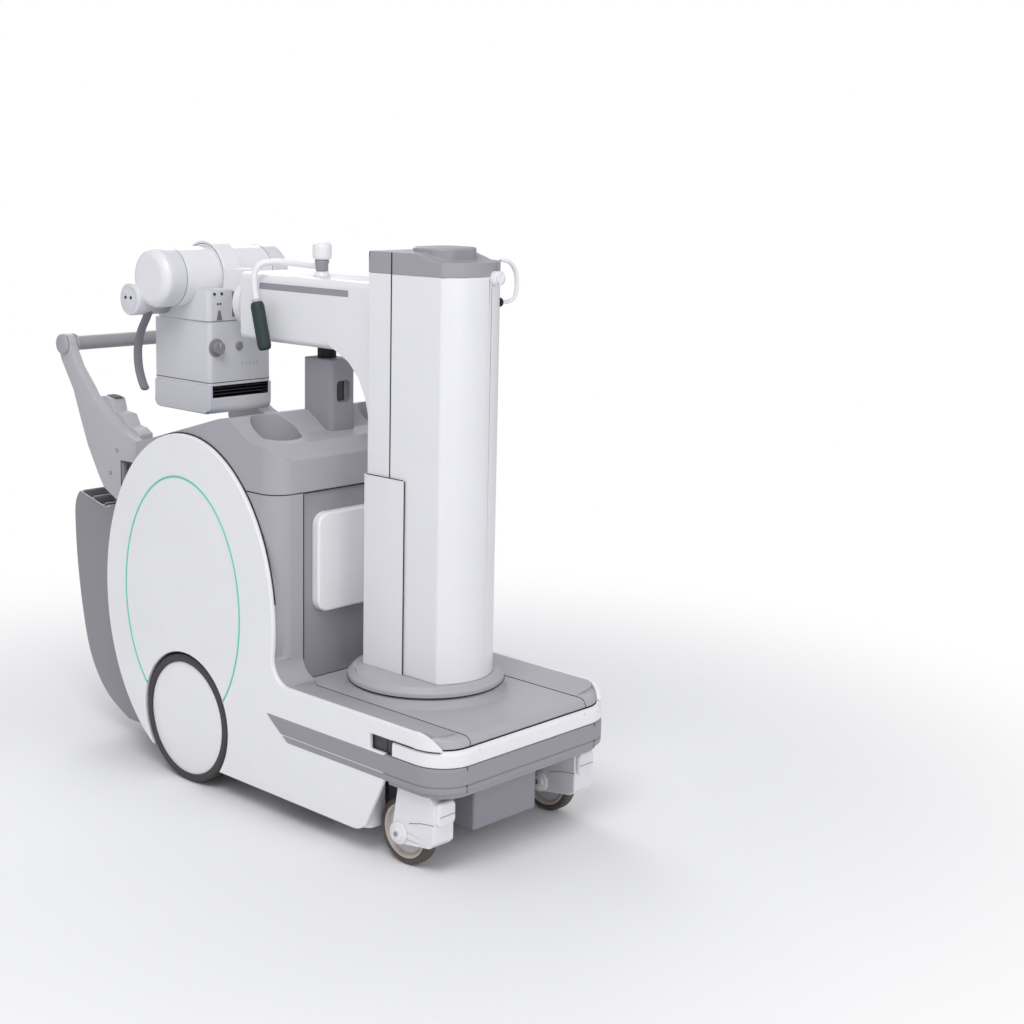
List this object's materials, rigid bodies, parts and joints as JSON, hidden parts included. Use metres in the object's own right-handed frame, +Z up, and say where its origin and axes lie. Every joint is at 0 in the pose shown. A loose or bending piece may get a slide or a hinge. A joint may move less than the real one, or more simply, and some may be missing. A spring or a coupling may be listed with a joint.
{
  "type": "mobile x-ray unit",
  "caption": "Battery-driven mobile x-ray cart: turning column with rising mast, sliding arm, rolling and tilting tube head with collimator, push handle, sloping console and detector bin.",
  "frame": {"origin": "centre of the footprint, on the floor plane under the wheels", "axes": "+X points to the column end, +Y to the unit's left, +Z up; metres"},
  "size_m": [1.426, 0.56, 1.288],
  "materials": {
    "white_shell": "satin white moulding",
    "white_strip": "satin white moulding",
    "grey_shell": "fine matt grey moulding",
    "dark_grey": "matt dark grey",
    "handle_grey": "fine matt grey",
    "bin_black": "glossy dark grey",
    "accent_teal": "satin teal",
    "console_black": "black glass",
    "frame_metal": "powder-coated frame",
    "inner_parts": "sealed inner units",
    "cap_grey": "satin grey cap moulding",
    "turntable_grey": "satin grey",
    "column_white": "white painted",
    "mast_white": "light grey painted",
    "sleeve_grey": "light grey painted",
    "peg_white": "satin white",
    "stripe_grey": "satin grey",
    "inner_arm_metal": "satin light",
    "head_white": "white painted",
    "collimator_white": "satin white",
    "grip_grey": "soft grey",
    "knob_grey": "satin grey",
    "lever_white": "white painted tube",
    "grip_green": "dark green soft grip",
    "rubber_black": "black rubber",
    "switch_white": "satin white",
    "holder_grey": "satin grey",
    "stop_red": "glossy red",
    "tyre": "dark grey solid tyre",
    "wheel_white": "satin white disc",
    "caster_rubber": "warm grey tread",
    "caster_hub": "grey hub",
    "fork_white": "white painted"
  },
  "bodies": {
    "cart": {"chassis_frame": "frame_metal", "battery_pack": "inner_parts", "generator_tank": "inner_parts", "drive_motors": "inner_parts", "side_shell_left": "grey_shell", "side_shell_right": "grey_shell", "side_cover_left": "white_shell", "side_cover_right": "white_shell", "accent_rings": "accent_teal", "bumper_band": "dark_grey", "front_strip": "white_strip", "under_box": "dark_grey", "deck_slab": "grey_shell", "front_panel": "dark_grey", "front_access_cover": "white_shell", "top_cover": "grey_shell", "console_glass": "console_black", "rest_post": "dark_grey", "rest_stop": "rubber_black", "handle_cheek_left": "grey_shell", "handle_cheek_right": "grey_shell", "handle_bar": "handle_grey", "rear_panel": "bin_black", "switch_holder": "holder_grey", "rear_pull": "handle_grey", "detector_bin": "bin_black"},
    "drive_wheel_left": {"drive_tyre_left": "tyre", "drive_disc_left": "wheel_white"},
    "drive_wheel_right": {"drive_tyre_right": "tyre", "drive_disc_right": "wheel_white"},
    "caster_left": {"caster_fork_left": "fork_white"},
    "caster_right": {"caster_fork_right": "fork_white"},
    "caster_roller_left": {"caster_tyre_left": "caster_rubber", "caster_wheel_left": "caster_hub"},
    "caster_roller_right": {"caster_tyre_right": "caster_rubber", "caster_wheel_right": "caster_hub"},
    "console_button": {"power_button": "switch_white"},
    "stop_button": {"emergency_stop": "stop_red"},
    "switch": {"hand_switch": "switch_white"},
    "column": {"turntable": "turntable_grey", "fixed_mast": "column_white", "column_cap": "cap_grey", "rear_sleeve": "sleeve_grey", "column_peg": "peg_white"},
    "carriage": {"moving_mast": "mast_white", "carriage_cap": "cap_grey", "arm_housing": "column_white", "arm_stripes": "stripe_grey"},
    "lever": {"release_lever": "lever_white", "release_grip": "grip_green"},
    "slide_arm": {"inner_arm": "inner_arm_metal"},
    "head_carrier": {"tube_carrier": "head_white"},
    "tube": {"tube_housing": "head_white", "tube_cradle": "head_white", "head_handle_left": "grip_grey", "head_handle_right": "grip_grey"},
    "beam_limiter": {"collimator_upper": "collimator_white", "collimator_lower": "collimator_white"},
    "field_knob": {"collimator_knob": "knob_grey"},
    "field_light": {"light_button": "knob_grey"}
  },
  "joints": [
    {"name": "drive_wheel_left_turn", "type": "hinge", "parent": "cart", "child": "drive_wheel_left", "pos_m": [-0.145, 0.248, 0.155], "axis": [0, 1, 0], "continuous": true},
    {"name": "caster_left_swivel", "type": "hinge", "parent": "cart", "child": "caster_left", "pos_m": [0.601, 0.224, 0.18], "axis": [0, 0, 1], "continuous": true},
    {"name": "caster_left_roll", "type": "hinge", "parent": "caster_left", "child": "caster_roller_left", "pos_m": [0.565, 0.224, 0.074], "axis": [0, 1, 0], "continuous": true},
    {"name": "drive_wheel_right_turn", "type": "hinge", "parent": "cart", "child": "drive_wheel_right", "pos_m": [-0.145, -0.248, 0.155], "axis": [0, 1, 0], "continuous": true},
    {"name": "caster_right_swivel", "type": "hinge", "parent": "cart", "child": "caster_right", "pos_m": [0.601, -0.224, 0.18], "axis": [0, 0, 1], "continuous": true},
    {"name": "caster_right_roll", "type": "hinge", "parent": "caster_right", "child": "caster_roller_right", "pos_m": [0.565, -0.224, 0.074], "axis": [0, 1, 0], "continuous": true},
    {"name": "power_press", "type": "slide", "parent": "cart", "child": "console_button", "axis": [0, 0, -1], "range_m": [0, 0.0025], "stiffness_N_per_m": 800, "springref_m": -0.001},
    {"name": "emergency_stop_press", "type": "slide", "parent": "cart", "child": "stop_button", "axis": [0.9487, 0, 0.3162], "range_m": [0, 0.005]},
    {"name": "hand_switch_lift", "type": "slide", "parent": "cart", "child": "switch", "axis": [-0.9487, 0, -0.3162], "range_m": [0, 0.06]},
    {"name": "column_turn", "type": "hinge", "parent": "cart", "child": "column", "pos_m": [0.385, 0, 0.325], "axis": [0, 0, 1], "range_deg": [-270, 270]},
    {"name": "mast_lift", "type": "slide", "parent": "column", "child": "carriage", "axis": [0, 0, 1], "range_m": [0, 0.7]},
    {"name": "lever_swing", "type": "hinge", "parent": "carriage", "child": "lever", "pos_m": [0.062, -0.03, 1.228], "axis": [0, 0, 1], "range_deg": [0, 12], "stiffness_Nm_per_rad": 4, "springref_deg": -5.73},
    {"name": "arm_extend", "type": "slide", "parent": "carriage", "child": "slide_arm", "axis": [-1, 0, 0], "range_m": [0, 0.14]},
    {"name": "tube_roll", "type": "hinge", "parent": "slide_arm", "child": "head_carrier", "pos_m": [-0.207, 0, 1.125], "axis": [1, 0, 0], "range_deg": [-180, 180]},
    {"name": "tube_tilt", "type": "hinge", "parent": "head_carrier", "child": "tube", "pos_m": [-0.385, 0, 1.183], "axis": [0, 1, 0], "range_deg": [-15, 33]},
    {"name": "collimator_turn", "type": "hinge", "parent": "tube", "child": "beam_limiter", "pos_m": [-0.385, 0, 1.0795], "axis": [0, 0, 1], "range_deg": [-90, 90]},
    {"name": "field_knob_turn", "type": "hinge", "parent": "beam_limiter", "child": "field_knob", "pos_m": [-0.272, -0.076, 1.016], "axis": [1, 0, 0], "range_deg": [-150, 150]},
    {"name": "field_light_press", "type": "slide", "parent": "beam_limiter", "child": "field_light", "axis": [-1, 0, 0], "range_m": [0, 0.003], "stiffness_N_per_m": 600, "springref_m": -0.001}
  ]
}
